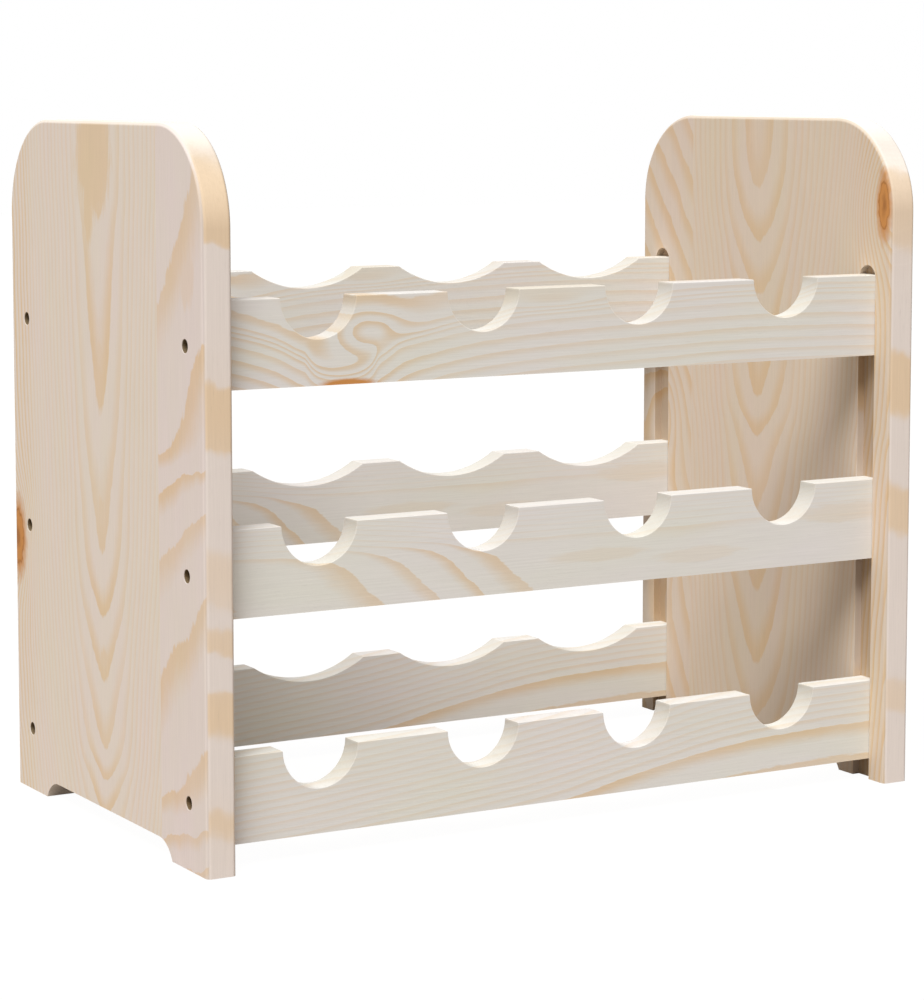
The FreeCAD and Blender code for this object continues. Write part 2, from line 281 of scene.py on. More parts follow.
# Contrast of the rings across a flat-sawn board: strong at the heart, fine and faint beside it
FLAT_FADE = [
    (-160, 0.26), (-70, 0.28), (-38, 0.32), (-20, 0.5), (-9, 0.68), (9, 0.68), (20, 0.5), (38, 0.32),
    (70, 0.28), (160, 0.26)]
GRAIN = {
    "left_panel_wide_board": {
        "turn": "YZX", "origin": (3.0, 0.0, -245.0), "seed": 3.0, "wander": 5.0, "tilt": 0.10,
        "bore": 113.0, "groove": 15.4, "tint_and_shade": (1.0, 1.0, 0.985), "end": 0.82,
        "across": FLAT_SAWN, "fade": FLAT_FADE[:-2] + [(95, 0.3), (122, 0.85), (160, 0.85)],
        "along": [(0, 7.2), (28, 6.0), (48, 5.0), (88, 4.0), (125, 3.0), (165, 2.0),
                  (205, 1.55), (247, 1.0), (290, 0.6), (361, 0.0), (380, -0.34), (440, -0.6)],
        "bends": [(134, 158, 26, 34, 6.0)],
        "lobes": [(7, 401, 25, 38, 0.62), (15, 372, 7, 27, 0.6), (1, 272, 6, 22, 0.45),
                  (0, 184, 6, 17, 0.45), (-2, 99, 7, 10, 0.5)],
        "knots": [(133, 158, 13, 24)],
    },
    "left_panel_narrow_board": {
        "turn": "YZX", "origin": (-110.0, 0.0, -245.0), "seed": 11.0, "wander": 9.0, "tilt": 0.25,
        "fade": [(-60, 0.7), (60, 0.72)], "sharp": 1.5, "tint_and_shade": (1.0, 0.992, 1.03), "end": 0.82,
        "bore": -6.0, "groove": 15.4,
        "edge": [(0, 0.0), (22, 0.1), (34, 0.8), (42, 0.1), (76, 0.0), (88, 0.95), (106, 0.9),
                 (110, 0.0), (127, 0.0), (131, 0.8), (142, 0.7), (147, 0.0), (158, 0.4),
                 (178, 0.5), (190, 0.0), (238, 0.0), (243, 0.9), (276, 1.0), (281, 0.1),
                 (354, 0.0), (357, 1.0), (392, 1.0), (404, 0.55), (414, 0.15), (420, 0.1)],
        "across": [(-36, -0.45), (0, 0.0), (36, 0.45)],
        "along": [(0, -2.0), (15, -1.2), (40, -0.2), (70, 0.25), (117, 0.8), (182, 1.8),
                  (219, 2.8), (241, 3.8), (290, 4.25), (337, 4.8), (430, 5.3)],
        "bends": [],
        "lobes": [(-9, 337, 10, 20, 0.3)],
        "knots": [],
    },
    "right_panel_wide_board": {
        "turn": "YZX", "origin": (1.0, 0.0, 227.0), "seed": 23.0, "wander": 5.0, "tilt": 0.10,
        # The tint on this board is partly its own browner colour and partly painted shade.
        "bore": -117.0, "groove": 2.6, "tint_and_shade": (0.92, 0.87, 0.79), "end": 0.82,
        "edge": [(0, 0.0), (44, 0.0), (52, 0.6), (66, 0.5), (74, 0.0), (158, 0.0), (166, 0.9),
                 (188, 0.9), (196, 0.0), (232, 0.0), (242, 1.0), (272, 1.0), (280, 0.0),
                 (336, 0.1), (346, 0.7), (384, 0.8), (392, 0.1), (420, 0.0)],
        "across": FLAT_SAWN, "fade": [
            (-160, 0.85), (-122, 0.85), (-95, 0.3), (-38, 0.34), (-15, 0.6), (15, 0.6), (38, 0.34),
            (160, 0.26)],
        "along": [(0, 8.4), (16, 8.0), (54, 7.0), (102, 6.0), (159, 5.0), (207, 4.0),
                  (235, 3.0), (302, 2.0), (336, 1.0), (372, 0.0), (392, -0.34), (440, -0.6)],
        "bends": [(-132, 366, 30, 40, 6.5)],
        "knots": [(-133, 366, 7, 21)],
    },
    "right_panel_narrow_board": {
        "turn": "YZX", "origin": (110.0, 0.0, 227.0), "seed": 31.0, "wander": 8.0, "tilt": 0.25,
        # The tint on this board is partly its own browner colour and partly painted shade.
        "fade": [(-60, 0.6), (60, 0.65)], "tint_and_shade": (0.92, 0.87, 0.80), "end": 0.82,
        "bore": 6.0, "groove": 2.6,
        "across": [(-36, 1.7), (0, 0.0), (36, -1.7)],
        "along": [(0, 0.0), (60, 1.3), (140, 3.0), (200, 4.5), (260, 6.2), (330, 8.2), (430, 11.4)],
        "bends": [(2, 215, 20, 34, -2.4), (4, 118, 18, 30, -1.6)],
        "knots": [],
    },
    "upper": {
        "turn": "ZXY", "origin": (271.5, 0.0, 0.0), "seed": 43.0, "wander": 1.2, "tilt": 0.3,
        "fade": [(-60, 0.95), (90, 1.0)], "end": 0.45,
        "fade_along": [(-240, 0.5), (-190, 0.65), (-140, 0.8), (-90, 0.5), (-30, 0.36), (240, 0.36)],
        "across": [(-20, -3.6), (0, 0.0), (14, 2.2), (26, 3.8), (36, 5.2), (46, 8.0), (54, 8.7),
                   (90, 9.1)],
        "along": [(-240, 0.0), (-190, 0.4), (-140, 0.0), (240, 0.3)],
        "lift": [(-240, 4), (-205, 11), (-175, 24), (-150, 36), (-126, 25), (-96, 13),
                 (-40, 5), (60, 0), (150, -3), (240, -2)],
        "bends": [(30, -134, 12, 22, -2.6), (42, -8, 5, 30, 0.8)],
        "knots": [(0.5, -147, 2.6, 17)],
    },
    "middle": {
        "turn": "ZXY", "origin": (142.5, 0.0, 0.0), "seed": 53.0, "wander": 3.0, "tilt": 0.3,
        "fade": [(-20, 0.76), (26, 0.74), (36, 0.25), (80, 0.22)], "end": 0.45, "sharp": 1.7,
        "fade_along": [(-240, 0.9), (-60, 0.9), (0, 0.6), (240, 0.6)],
        "slant": 1.1,
        "across": [(-10, 0.0), (22, 0.0), (30, 0.35), (36, 1.6), (52, 6.6), (62, 9.6)],
        "along": [(-250, -0.1), (-200, 0.1), (-131, 0.85), (-91, 1.85), (-59, 2.85), (-30, 3.85),
                  (5, 4.3), (60, 4.45), (110, 4.6), (190, 4.42), (250, 4.62), (320, 4.7)],
        "bends": [],
        "lobes": [(18, 22, 4, 34, 0.22), (13, 95, 5, 30, 0.2), (31, 205, 6, 34, 0.25)],
        "knots": [],
    },
    "lower": {
        "turn": "ZXY", "origin": (13.5, 0.0, 0.0), "seed": 61.0, "wander": 2.4, "tilt": 0.3,
        "fade": [(-40, 0.5), (-8, 0.9), (4, 0.95), (9, 0.35), (80, 0.3)], "end": 0.45,
        "across": [(-45, -2.6), (-20, -1.3), (-7, -0.75), (-1, -0.4), (4, 0.0), (9, 0.9),
                   (20, 3.3), (40, 7.6), (90, 18.5)],
        "along": [(-240, 0.0), (240, 0.2)],
        "lift": [(-240, 26), (-150, 19), (-60, 10), (0, 2), (60, -9), (115, -18), (160, -21),
                 (240, -22)],
        "bends": [],
        "knots": [],
    },
}


def growth_rings(tree, grain, board):
    """Rings counted from the heart at each point, and how strongly they show there."""
    part = add_node(tree, "SeparateXYZ", {0: grain}).outputs
    seed, wander = board["seed"], board["wander"]
    across = add_node(
        tree, "Math", {0: part[2], 1: board["tilt"], 2: part[0]}, operation="MULTIPLY_ADD").outputs[0]
    # The rings sway broadly, with a finer ripple on top.
    for width, reach, shift, share in ((55, 150, 0, 2.0), (14, 45, 5, 0.35)):
        sway = noise(tree, grain, width, reach, seed + shift)
        across = add_node(
            tree, "Math", {0: sway, 1: share * wander, 2: across}, operation="MULTIPLY_ADD").outputs[0]
    if "lift" in board:
        lift = follow(tree, part[1], board["lift"])
        across = add_node(tree, "Math", {0: across, 1: lift}, operation="ADD").outputs[0]
    along = add_node(
        tree, "Math", {0: across, 1: board.get("slant", 0.0), 2: part[1]},
        operation="MULTIPLY_ADD").outputs[0]
    sway = noise(tree, grain, 30, 60, seed + 9)
    along = add_node(
        tree, "Math", {0: sway, 1: 2.0 * wander, 2: along}, operation="MULTIPLY_ADD").outputs[0]
    rings = add_node(tree, "Math", {
        0: follow(tree, across, board["across"]), 1: follow(tree, along, board["along"])},
        operation="ADD").outputs[0]
    for middle_across, middle_along, half_width, half_length, amount in board["bends"]:
        reach = blob(tree, grain, middle_across, middle_along, half_width, half_length)
        square = add_node(tree, "Math", {0: reach, 1: 2.0}, operation="POWER").outputs[0]
        bell = add_node(tree, "Math", {0: 1.0 / math.e, 1: square}, operation="POWER").outputs[0]
        rings = add_node(
            tree, "Math", {0: bell, 1: amount, 2: rings}, operation="MULTIPLY_ADD").outputs[0]
    # Saw-cut rings have slightly ragged edges, a millimetre or two deep.
    ragged = noise(tree, grain, 3.0, 11.0, seed + 13, 3.0)
    rings = add_node(
        tree, "Math", {0: ragged, 1: 0.16, 2: rings}, operation="MULTIPLY_ADD").outputs[0]
    contrast = follow(tree, across, board["fade"])
    if "fade_along" in board:
        dimmed = follow(tree, part[1], board["fade_along"])
        contrast = add_node(tree, "Math", {0: contrast, 1: dimmed}, operation="MULTIPLY").outputs[0]
    return rings, contrast


# Latewood builds up slowly through a year, then stops short at the next spring's wood:
# (share of the ring, depth of the tan)
YEAR = [(0.0, 0.0), (0.42, 0.04), (0.6, 0.42), (0.78, 0.86), (0.955, 1.0), (1.0, 0.0)]


def latewood_share(tree, grain, board):
    """How tan the wood is at each point, from 0 in earlywood to 1 in a full ring of latewood."""
    rings, contrast = growth_rings(tree, grain, board)
    seed = board["seed"]
    fraction = add_node(tree, "Math", {0: rings}, operation="FRACT").outputs[0]
    fraction = add_node(
        tree, "Math", {0: fraction, 1: board.get("sharp", 1.0)}, operation="POWER").outputs[0]
    latewood = add_node(tree, "ValToRGB", {0: fraction}, points=[
        (share, (depth, depth, depth, 1)) for share, depth in YEAR]).outputs[0]

    # No two years are alike, and a ring's tan comes and goes along it.
    year = add_node(tree, "Math", {0: rings}, operation="FLOOR").outputs[0]
    strength = add_node(tree, "TexWhiteNoise", {"W": year}, noise_dimensions="1D").outputs[0]
    strength = add_node(tree, "MapRange", {0: strength, 3: 0.8, 4: 1.1}).outputs[0]
    patches = noise(tree, grain, 40, 90, seed + 21)
    strength = add_node(
        tree, "Math", {0: patches, 1: 0.8, 2: strength}, operation="MULTIPLY_ADD").outputs[0]
    strength = add_node(tree, "Math", {0: strength, 1: contrast}, operation="MULTIPLY").outputs[0]
    latewood = add_node(
        tree, "Math", {0: latewood, 1: strength}, operation="MULTIPLY", use_clamp=True).outputs[0]

    for middle_across, middle_along, half_width, half_length, amount in board.get("lobes", ()):
        reach = blob(tree, grain, middle_across, middle_along, half_width, half_length)
        ragged = noise(tree, grain, 2.5, 16, seed + 17, 3.0)
        reach = add_node(
            tree, "Math", {0: ragged, 1: 0.9, 2: reach}, operation="MULTIPLY_ADD").outputs[0]
        lobe = add_node(tree, "MapRange", {0: reach, 1: 1.15, 2: 0.8, 3: 0.0, 4: amount}).outputs[0]
        latewood = add_node(tree, "Math", {0: latewood, 1: lobe}, operation="MAXIMUM").outputs[0]
    return latewood


def cloudy(tree, grain, seed, colour):
    """The colour with pinkish and yellowish clouds a few centimetres wide."""
    cloud = add_node(tree, "MapRange", {
        0: noise(tree, grain, 34, 120, seed + 27), 1: -0.25, 2: 0.25}).outputs[0]
    pinkish, yellowish = (1.0, 0.978, 0.985, 1.0), (0.985, 0.995, 0.93, 1.0)
    tint = add_node(
        tree, "Mix", {0: cloud, 6: pinkish, 7: yellowish}, data_type="RGBA").outputs[2]
    return add_node(
        tree, "Mix", {0: 1.0, 6: colour, 7: tint}, data_type="RGBA", blend_type="MULTIPLY").outputs[2]


def fibres(tree, grain, seed):
    """Long fibres, and the brightness that they and the pores between them give the wood."""
    # Fibres are 0.03 mm thick; bundles of them are drawn 1 mm wide so that they show.
    fibre = noise(tree, grain, 1.0, 38.0, seed + 33, 3.0)
    bundles = add_node(
        tree, "Math", {0: fibre, 1: 0.13, 2: 1.0}, operation="MULTIPLY_ADD").outputs[0]
    pores = noise(tree, grain, 0.7, 9.0, seed + 37, 1.0)
    pores = add_node(tree, "MapRange", {0: pores, 1: 0.17, 2: 0.3, 3: 1.0, 4: 0.93}).outputs[0]
    brightness = add_node(tree, "Math", {0: bundles, 1: pores}, operation="MULTIPLY").outputs[0]
    return fibre, brightness


def knotted(tree, grain, board, colour, knot, knot_heart):
    """The colour with the board's knots: an orange eye round dark resin, in a dark rim."""
    for middle_across, middle_along, half_width, half_length in board["knots"]:
        reach = blob(tree, grain, middle_across, middle_along, half_width, half_length)
        wobble = noise(tree, grain, 5, 7, board["seed"] + 41)
        reach = add_node(
            tree, "Math", {0: wobble, 1: 0.5, 2: reach}, operation="MULTIPLY_ADD").outputs[0]
        eye = add_node(tree, "ValToRGB", {0: reach}, points=[
            (0.0, knot_heart), (0.15, knot_heart), (0.42, knot), (0.62, knot), (0.7, knot_heart),
            (0.78, knot)]).outputs[0]
        inside = add_node(tree, "MapRange", {0: reach, 1: 0.7, 2: 1.3, 3: 1.0, 4: 0.0}).outputs[0]
        colour = add_node(tree, "Mix", {0: inside, 6: colour, 7: eye}, data_type="RGBA").outputs[2]
    return colour


def banded_edge(tree, grain, board, facing, colour, plain, late, brightness):
    """The colour with level bands on the board's narrow edge, which cuts the rings end on."""
    part = add_node(tree, "SeparateXYZ", {0: grain}).outputs
    side_on = add_node(tree, "SeparateXYZ", {0: facing}).outputs[0]
    side_on = add_node(tree, "Math", {0: side_on}, operation="ABSOLUTE").outputs[0]
    on_edge = add_node(tree, "MapRange", {0: side_on, 1: 0.75, 2: 0.45}).outputs[0]
    ragged = noise(tree, grain, 9, 14, board["seed"] + 45)
    level = add_node(
        tree, "Math", {0: ragged, 1: 9.0, 2: part[1]}, operation="MULTIPLY_ADD").outputs[0]
    level = add_node(
        tree, "Math", {0: part[2], 1: 0.25, 2: level}, operation="MULTIPLY_ADD").outputs[0]
    depth = add_node(
        tree, "Math", {0: follow(tree, level, board["edge"]), 1: 0.72}, operation="MULTIPLY").outputs[0]
    band = add_node(tree, "Mix", {0: depth, 6: plain, 7: late}, data_type="RGBA").outputs[2]
    band = add_node(tree, "VectorMath", {0: band, "Scale": brightness}, operation="SCALE").outputs[0]
    return add_node(tree, "Mix", {0: on_edge, 6: colour, 7: band}, data_type="RGBA").outputs[2]


def shade_arrises(tree, facing, colour):
    """The colour made darker on rounded arrises: painted shade that tones down the light they catch."""
    leaning = add_node(tree, "VectorMath", {0: facing}, operation="ABSOLUTE").outputs[0]
    lean = add_node(tree, "SeparateXYZ", {0: leaning}).outputs
    flatness = add_node(tree, "Math", {0: lean[1], 1: lean[2]}, operation="MAXIMUM").outputs[0]
    flatness = add_node(tree, "Math", {0: flatness, 1: lean[0]}, operation="MAXIMUM").outputs[0]
    arris_shade = add_node(tree, "MapRange", {0: flatness, 1: 0.99, 2: 0.74, 3: 1.0, 4: 0.8}).outputs[0]
    return add_node(tree, "VectorMath", {0: colour, "Scale": arris_shade}, operation="SCALE").outputs[0]


def groove_and_hole_shade(tree, grain, board, colour):
    """The colour with painted shade that darkens the walls of the grooves and the screw holes."""
    part = add_node(tree, "SeparateXYZ", {0: grain}).outputs
    # Painted shade darkens the walls of the grooves, where shade falls in the recess. These distances
    # are from the middle of the groove, across the face, into the board and up to its round end.
    around = add_node(tree, "Math", {0: part[0], 1: board["bore"]}, operation="SUBTRACT").outputs[0]
    beside = add_node(tree, "Math", {0: around}, operation="ABSOLUTE").outputs[0]
    beside = add_node(tree, "MapRange", {0: beside, 1: 8.6, 2: 8.4}).outputs[0]
    depth = add_node(tree, "Math", {0: part[2], 1: board["groove"]}, operation="SUBTRACT").outputs[0]
    depth = add_node(tree, "Math", {0: depth}, operation="ABSOLUTE").outputs[0]
    depth = add_node(tree, "MapRange", {0: depth, 1: 2.5, 2: 2.44}).outputs[0]
    groove_shade = add_node(tree, "Math", {0: beside, 1: depth}, operation="MULTIPLY").outputs[0]
    # The painted shade stays below the panel's round top corners.
    below = add_node(tree, "MapRange", {0: part[1], 1: 340.0, 2: 336.0}).outputs[0]
    groove_shade = add_node(tree, "Math", {0: groove_shade, 1: below}, operation="MULTIPLY").outputs[0]
    groove_shade_colour = add_node(
        tree, "VectorMath", {0: colour, 1: (0.70, 0.64, 0.56)}, operation="MULTIPLY").outputs[0]
    colour = add_node(tree, "Mix", {0: groove_shade, 6: colour, 7: groove_shade_colour}, data_type="RGBA").outputs[2]

    # Painted shade darkens the walls of the screw holes, which stand in shade inside.
    first, second = screw_heights()[:2]
    pitch = (second - first) / MM
    up = add_node(
        tree, "Math", {0: part[1], 1: pitch / 2.0 - first / MM}, operation="ADD").outputs[0]
    up = add_node(tree, "Math", {0: up, 1: pitch}, operation="MODULO").outputs[0]
    up = add_node(tree, "Math", {0: up, 1: pitch / 2.0}, operation="SUBTRACT").outputs[0]
    from_axis = add_node(tree, "CombineXYZ", {0: around, 1: up}).outputs[0]
    from_axis = add_node(
        tree, "VectorMath", {0: from_axis}, operation="LENGTH").outputs["Value"]
    inside = add_node(tree, "MapRange", {0: from_axis, 1: 4.05, 2: 3.8}).outputs[0]
    hole_shade_colour = add_node(
        tree, "VectorMath", {0: colour, 1: (0.22, 0.17, 0.10)}, operation="MULTIPLY").outputs[0]
    return add_node(tree, "Mix", {0: inside, 6: colour, 7: hole_shade_colour}, data_type="RGBA").outputs[2]


def pine(name, board, into_shift, early, late, knot, knot_heart, end_grain):
    """Planed untreated Scots pine: matt pale wood, tan growth rings, orange knots and fine fibres."""
    material = bpy.data.materials.new(name)
    material.use_nodes = True
    tree = material.node_tree
    tree.nodes.clear()
    place = add_node(tree, "TexCoord").outputs["Object"]
    axes = add_node(tree, "SeparateXYZ", {0: place}).outputs
    turned = add_node(tree, "CombineXYZ", {
        i: axes[axis] for i, axis in enumerate(board["turn"])}).outputs[0]
    origin = board["origin"]
    grain = add_node(tree, "Mapping", {
        "Vector": turned, "Scale": (1.0 / MM,) * 3,
        "Location": (-origin[0], -origin[1], -origin[2] - into_shift)}).outputs[0]
    facing = add_node(tree, "NewGeometry").outputs["Normal"]

    latewood = latewood_share(tree, grain, board)
    fibre, brightness = fibres(tree, grain, board["seed"])
    colour = add_node(tree, "Mix", {0: latewood, 6: early, 7: late}, data_type="RGBA").outputs[2]
    colour = cloudy(tree, grain, board["seed"], colour)
    colour = add_node(
        tree, "VectorMath", {0: colour, "Scale": brightness}, operation="SCALE").outputs[0]

    # Ends and curves cut across the fibres, so the rings hardly show on them. On the rails the
    # colour mixed in here is partly painted shade that dulls the walls of the bottle rests.
    fibre_axis = {"YZX": (0.0, 0.0, 1.0), "ZXY": (1.0, 0.0, 0.0)}[board["turn"]]
    cut_across = add_node(
        tree, "VectorMath", {0: facing, 1: fibre_axis}, operation="DOT_PRODUCT").outputs["Value"]
    cut_across = add_node(tree, "Math", {0: cut_across}, operation="ABSOLUTE").outputs[0]
    end = add_node(
        tree, "MapRange", {0: cut_across, 1: 0.06, 2: 0.5, 3: 0.0, 4: board["end"]}).outputs[0]
    colour = add_node(tree, "Mix", {0: end, 6: colour, 7: end_grain}, data_type="RGBA").outputs[2]

    # Tint the whole board. On the right panels this is partly the boards' own browner colour and partly
    # painted shade, darker and browner where their inner faces stand in shade.
    if "tint_and_shade" in board:
        colour = add_node(
            tree, "VectorMath", {0: colour, 1: board["tint_and_shade"]}, operation="MULTIPLY").outputs[0]
    colour = knotted(tree, grain, board, colour, knot, knot_heart)
    if "edge" in board:
        plain = add_node(tree, "Mix", {0: end, 6: early, 7: end_grain}, data_type="RGBA").outputs[2]
        colour = banded_edge(tree, grain, board, facing, colour, plain, late, brightness)
    if "bore" in board:
        # Panel boards get painted shade on their arrises, in their grooves and in their screw holes.
        colour = shade_arrises(tree, facing, colour)
        colour = groove_and_hole_shade(tree, grain, board, colour)

    # Handling polishes sharp edges, which turn paler and smoother within a millimetre.
    rounded = add_node(tree, "Bevel", {"Radius": 0.0012}, samples=4).outputs[0]
    edge = add_node(
        tree, "VectorMath", {0: rounded, 1: facing}, operation="DOT_PRODUCT").outputs["Value"]
    worn = add_node(tree, "MapRange", {0: edge, 1: 0.99, 2: 0.85, 3: 0.0, 4: 0.35}).outputs[0]
    pale = add_node(tree, "VectorMath", {0: colour, "Scale": 1.10}, operation="SCALE").outputs[0]
    colour = add_node(tree, "Mix", {0: worn, 6: colour, 7: pale}, data_type="RGBA").outputs[2]

    # Latewood is harder, so it planes smoother and stands a hair proud; fibres roughen the rest.
    rough = add_node(tree, "MapRange", {0: latewood, 3: 0.68, 4: 0.54}).outputs[0]
    rough = add_node(
        tree, "Math", {0: fibre, 1: 0.12, 2: rough}, operation="MULTIPLY_ADD").outputs[0]
    rough = add_node(
        tree, "Math", {0: worn, 1: -0.2, 2: rough}, operation="MULTIPLY_ADD").outputs[0]
    height = add_node(
        tree, "Math", {0: latewood, 1: 0.5, 2: fibre}, operation="MULTIPLY_ADD").outputs[0]
    bump = add_node(
        tree, "Bump", {"Strength": 0.35, "Distance": 0.00015, "Height": height}).outputs[0]
    surface = add_node(tree, "BsdfPrincipled", {
        "Base Color": colour, "Roughness": rough, "Normal": bump, "IOR": 1.45}).outputs[0]
    add_node(tree, "OutputMaterial", {"Surface": surface})
    return material


def zinc_plated_steel(zinc):
    """Yellow-passivated zinc on steel: a dark brassy gleam, dulled in patches where it is thin."""
    material = bpy.data.materials.new("zinc_plated_steel")
    material.use_nodes = True
    tree = material.node_tree
    tree.nodes.clear()
    place = add_node(tree, "TexCoord").outputs["Object"]
    patch = add_node(tree, "TexNoise", {"Vector": place, "Scale": 900.0, "Detail": 3.0}).outputs[0]
    dull = [channel * 0.62 for channel in zinc[:3]] + [1.0]
    colour = add_node(tree, "Mix", {0: patch, 6: tuple(zinc), 7: dull}, data_type="RGBA").outputs[2]
    rough = add_node(tree, "MapRange", {0: patch, 3: 0.26, 4: 0.5}).outputs[0]
    scratch = add_node(tree, "TexNoise", {"Vector": place, "Scale": 6000.0}).outputs[0]
    bump = add_node(tree, "Bump", {"Strength": 0.2, "Distance": 0.00003, "Height": scratch}).outputs[0]
    surface = add_node(tree, "BsdfPrincipled", {
        "Base Color": colour, "Metallic": 1.0, "Roughness": rough, "Normal": bump}).outputs[0]
    add_node(tree, "OutputMaterial", {"Surface": surface})
    return material


# ----------------------------------------------------------------- mesh tools


def block(low, high):
    """A closed box between two corners."""
    bm = bmesh.new()
    bmesh.ops.create_cube(bm, size=1.0)
    bmesh.ops.scale(bm, vec=high - low, verts=bm.verts)
    bmesh.ops.translate(bm, vec=(low + high) / 2.0, verts=bm.verts)
    return bm


def spun(profile, steps):
    """A closed turning about the X axis from (along, radius) points that start and end on it."""
    bm = bmesh.new()
    points = [bm.verts.new((along, radius, 0.0)) for along, radius in profile]
    lines = [bm.edges.new(pair) for pair in zip(points, points[1:])]
    bmesh.ops.spin(
        bm, geom=points + lines, cent=(0, 0, 0), axis=(1, 0, 0), dvec=(0, 0, 0),
        angle=2.0 * math.pi, steps=steps, use_merge=True)
    bmesh.ops.remove_doubles(bm, verts=bm.verts, dist=TOUCH)
    bmesh.ops.recalc_face_normals(bm, faces=bm.faces)
    return bm


def bar(radius, start, finish, segments):
    """A closed cylinder from one point to another along Y."""
    bm = bmesh.new()
    bmesh.ops.create_cone(
        bm, cap_ends=True, segments=segments, radius1=radius, radius2=radius,
        depth=(finish - start).length, matrix=Matrix.Rotation(math.pi / 2.0, 4, "X"))
    bmesh.ops.translate(bm, vec=(start + finish) / 2.0, verts=bm.verts)
    return bm


def level_edges(bm, above):
    """A block's upper edges along X, the ones wholly above a height."""
    return [
        e for e in bm.edges
        if all(v.co.z > above for v in e.verts)
        and abs(e.verts[0].co.y - e.verts[1].co.y) < TOUCH]


def round_over(bm, edges, radius, segments):
    """Round the edges to a radius, in that many flat steps."""
    bmesh.ops.bevel(
        bm, geom=edges, offset=radius, offset_type="OFFSET", segments=segments, profile=0.5,
        affect="EDGES", material=-1, clamp_overlap=False)


def put(bm, verts, side, place):
    """Turn what was made for the left side to its own side, and move it into place."""
    if side > 0:
        bmesh.ops.rotate(bm, verts=verts, cent=(0, 0, 0), matrix=Matrix.Rotation(math.pi, 3, "Z"))
    bmesh.ops.translate(bm, verts=verts, vec=place)


def cut(stock, tools):
    """Take closed tools away from a closed stock and return what is left."""
    made = []
    for bm in (stock, *tools):
        mesh = bpy.data.meshes.new("cutting")
        bm.to_mesh(mesh)
        bm.free()
        made.append(bpy.data.objects.new("cutting", mesh))
        bpy.context.scene.collection.objects.link(made[-1])
    for tool in made[1:]:
        step = made[0].modifiers.new("cut", "BOOLEAN")
        step.operation, step.solver, step.object = "DIFFERENCE", "EXACT", tool
    left = bmesh.new()
    left.from_object(made[0], bpy.context.evaluated_depsgraph_get())
    for obj in made:
        mesh = obj.data
        bpy.data.objects.remove(obj)
        bpy.data.meshes.remove(mesh)
    bmesh.ops.remove_doubles(left, verts=left.verts, dist=2.0 * TOUCH)
    bmesh.ops.dissolve_degenerate(left, edges=left.edges, dist=TOUCH)
    return left


def finish_piece(name, bm, material, nodes):
    """Shade the mesh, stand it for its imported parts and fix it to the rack."""
    for face in bm.faces:
        face.smooth = True
    for edge in bm.edges:
        edge.smooth = edge.calc_face_angle(0.0) < CORNER_ANGLE
    mesh = bpy.data.meshes.new(name)
    bm.to_mesh(mesh)
    bm.free()
    mesh.materials.append(material)
    piece = bpy.data.objects.new(name, mesh)
    bpy.context.scene.collection.objects.link(piece)
    flat = piece.modifiers.new("flat_faces", "WEIGHTED_NORMAL")
    flat.keep_sharp = True
    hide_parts(*nodes)
    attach(piece, "root")
    return piece


# --------------------------------------------------------------------- pieces


def rail_box(row, tier):
    """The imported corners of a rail."""
    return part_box(row + "_rail_" + tier)


def screw_heights():
    """Heights of the screws, lowest first: each goes into the middle of a rail's end."""
    boxes = [rail_box("front", tier) for tier in TIERS]
    return [(low.z + high.z) / 2.0 for low, high in boxes]


def rail_middle_y(row):
    """How far back the middle of a row of rails lies."""
    low, high = rail_box(row, "lower")
    return (low.y + high.y) / 2.0


def panel_blank(side, sizes):
    """A whole side panel with round top corners and eased arrises."""
    outer = side * HALF_WIDTH
    inner = side * (HALF_WIDTH - sizes.panel_thickness)
    bm = block(
        Vector((min(outer, inner), -HALF_DEPTH, 0.0)), Vector((max(outer, inner), HALF_DEPTH, HEIGHT)))
    round_over(bm, level_edges(bm, HEIGHT / 2), sizes.corner_radius, CORNER_STEPS)
    # Every edge round a face is eased, except along the floor.
    arrises = [
        e for e in bm.edges
        if abs(e.verts[0].co.x - e.verts[1].co.x) < TOUCH and max(v.co.z for v in e.verts) > 1e-4]
    round_over(bm, arrises, sizes.arris_radius, ARRIS_STEPS)
    return bm


def relief_tool(sizes):
    """Cutter for the gap between the feet, with a round shoulder at each end."""
    radius = sizes.cove_radius
    below = radius - sizes.foot_height
    reach = HALF_DEPTH - sizes.foot_length - math.sqrt(radius ** 2 - below ** 2) + radius
    low = Vector((-1.0, -reach, sizes.foot_height - 2.0 * radius))
    bm = block(low, Vector((1.0, reach, sizes.foot_height)))
    round_over(bm, level_edges(bm, 0.0), radius, SHOULDER_STEPS)
    return bm


def groove_tool(side, y_middle, sizes):
    """Router cutter for the groove that takes the rail ends, with a round top end."""
    half = (sizes.rail_thickness + sizes.groove_fit) / 2.0
    inner = HALF_WIDTH - sizes.panel_thickness
    near, far = side * (inner - OVERCUT), side * (inner + sizes.groove_depth)
    rail_top = rail_box("front", "upper")[1].z
    corner = sizes.rail_thickness / 2.0 + ROUND_END_GAP
    crown = rail_top - PACKED_RAIL_EASE - math.sqrt(half ** 2 - corner ** 2) + half
    bm = block(
        Vector((min(near, far), y_middle - half, -OVERCUT)),
        Vector((max(near, far), y_middle + half, crown)))
    # A hair under the half width leaves a flat between the two rounds, so they never meet.
    round_over(bm, level_edges(bm, 0.0), half * 0.9995, SHOULDER_STEPS)
    return bm


def screw_hole_tool(side, y_middle, z_middle, sizes):
    """Counterbore with a softened mouth, and the clearance hole behind it."""
    head = sizes.head_radius + HEAD_CLEARANCE
    shank = sizes.thread_radius + SHANK_CLEARANCE
    seat = sizes.head_sink + sizes.head_height
    mouth = head + MOUTH_SOFTENING
    bm = spun([
        (-OVERCUT, 0.0), (-OVERCUT, mouth), (0.0, mouth), (MOUTH_SOFTENING, head), (seat, head),
        (seat, shank), (sizes.panel_thickness + OVERCUT, shank),
        (sizes.panel_thickness + OVERCUT, 0.0)], HOLE_STEPS)
    put(bm, bm.verts, side, (side * HALF_WIDTH, y_middle, z_middle))
    return bm


